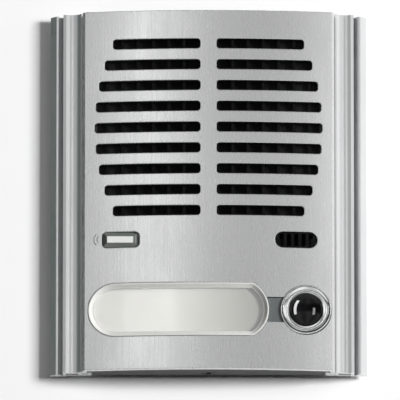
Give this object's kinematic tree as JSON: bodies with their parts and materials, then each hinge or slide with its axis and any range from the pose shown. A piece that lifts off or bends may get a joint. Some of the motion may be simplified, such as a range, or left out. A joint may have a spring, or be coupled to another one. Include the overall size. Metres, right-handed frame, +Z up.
{
  "type": "door intercom module",
  "caption": "Door entry panel with a bowed alloy face, slotted speaker grille, status window, microphone, lit name window and a domed push button.",
  "frame": {"origin": "centre of the four wall holes, on the wall plane", "axes": "+X to the right seen from the front, +Z up, -Y out of the wall towards the visitor"},
  "size_m": [0.13, 0.0339, 0.152],
  "materials": {
    "face_alloy": "satin anodised",
    "rail_alloy": "bright anodised",
    "black_plastic": "fine grain",
    "housing_plastic": "fine grain",
    "cloth": "woven",
    "steel": "zinc plated",
    "galvanised": "galvanised",
    "iron": "plated",
    "ferrite": "matt",
    "basket_steel": "pressed",
    "paper": "pulp",
    "rubber": "matt",
    "foam": "open cell",
    "copper": "enamelled",
    "clear_plastic": "polished",
    "milky_plastic": "diffusing",
    "card": "blank card",
    "link_plastic": "satin",
    "ring_chrome": "polished",
    "dome_black": "polished",
    "spring_steel": "drawn",
    "board_green": "solder mask",
    "terminal_green": "moulded",
    "terminal_zinc": "plated",
    "trimmer_blue": "moulded",
    "white_plastic": "moulded",
    "can_sleeve": "sleeved",
    "chip_black": "moulded",
    "resistor_tan": "lacquered",
    "lead_red": "insulated",
    "led_clear": "clear",
    "label_white": "blank label"
  },
  "bodies": {
    "panel": {"face_plate": "face_alloy", "left_rail": "rail_alloy", "right_rail": "rail_alloy", "rail_screws": "steel", "plate_studs": "steel", "stud_nuts": "steel", "chassis_frame": "black_plastic", "speaker_guard": "black_plastic", "dust_cloth": "cloth", "speaker_gasket": "foam", "speaker_basket": "basket_steel", "speaker_surround": "rubber", "magnet_top_plate": "iron", "speaker_magnet": "ferrite", "pole_piece": "iron", "speaker_screws": "steel", "speaker_leads": "lead_red", "status_lens": "clear_plastic", "status_led": "led_clear", "mic_insert": "black_plastic", "mic_boot": "rubber", "mic_capsule": "steel", "mic_leads": "terminal_zinc", "name_window": "clear_plastic", "name_card": "card", "light_guide": "milky_plastic", "label_leds": "led_clear", "link_plate": "link_plastic", "button_bezel": "ring_chrome", "button_spring": "spring_steel", "switch_body": "chip_black", "main_board": "board_green", "board_screws": "steel", "terminal_block": "terminal_green", "terminal_screws": "terminal_zinc", "trimmer_bodies": "trimmer_blue", "capacitors": "can_sleeve", "audio_chip": "chip_black", "resistors": "resistor_tan", "lead_header": "white_plastic", "rear_cover": "housing_plastic", "rear_label": "label_white", "cover_screws": "steel", "wall_plate": "galvanised", "security_screw": "steel"},
    "button": {"button_cap": "dome_black", "button_clip": "spring_steel"},
    "plunger": {"switch_plunger": "white_plastic"},
    "cone": {"speaker_cone": "paper", "voice_coil": "copper"},
    "street_volume": {"street_trimmer": "white_plastic"},
    "indoor_volume": {"indoor_trimmer": "white_plastic"}
  },
  "joints": [
    {"name": "button_press", "type": "slide", "parent": "panel", "child": "button", "axis": [0, 1, 0], "range_m": [0, 0.002], "stiffness_N_per_m": 600, "springref_m": -0.002, "deforming": ["button_spring"]},
    {"name": "plunger_press", "type": "slide", "parent": "panel", "child": "plunger", "axis": [0, 1, 0], "range_m": [0, 0.002]},
    {"name": "cone_stroke", "type": "slide", "parent": "panel", "child": "cone", "axis": [0, 1, 0], "range_m": [-0.0005, 0.0005], "stiffness_N_per_m": 1200, "deforming": ["speaker_surround"]},
    {"name": "street_volume_turn", "type": "hinge", "parent": "panel", "child": "street_volume", "pos_m": [-0.0295, 0.012, -0.01861], "axis": [0, 1, 0], "range_deg": [-135, 135]},
    {"name": "indoor_volume_turn", "type": "hinge", "parent": "panel", "child": "indoor_volume", "pos_m": [-0.0145, 0.012, -0.01861], "axis": [0, 1, 0], "range_deg": [-135, 135]}
  ],
  "couplings": [
    {"joint": "plunger_press", "follows": "button_press", "ratio": 1}
  ]
}
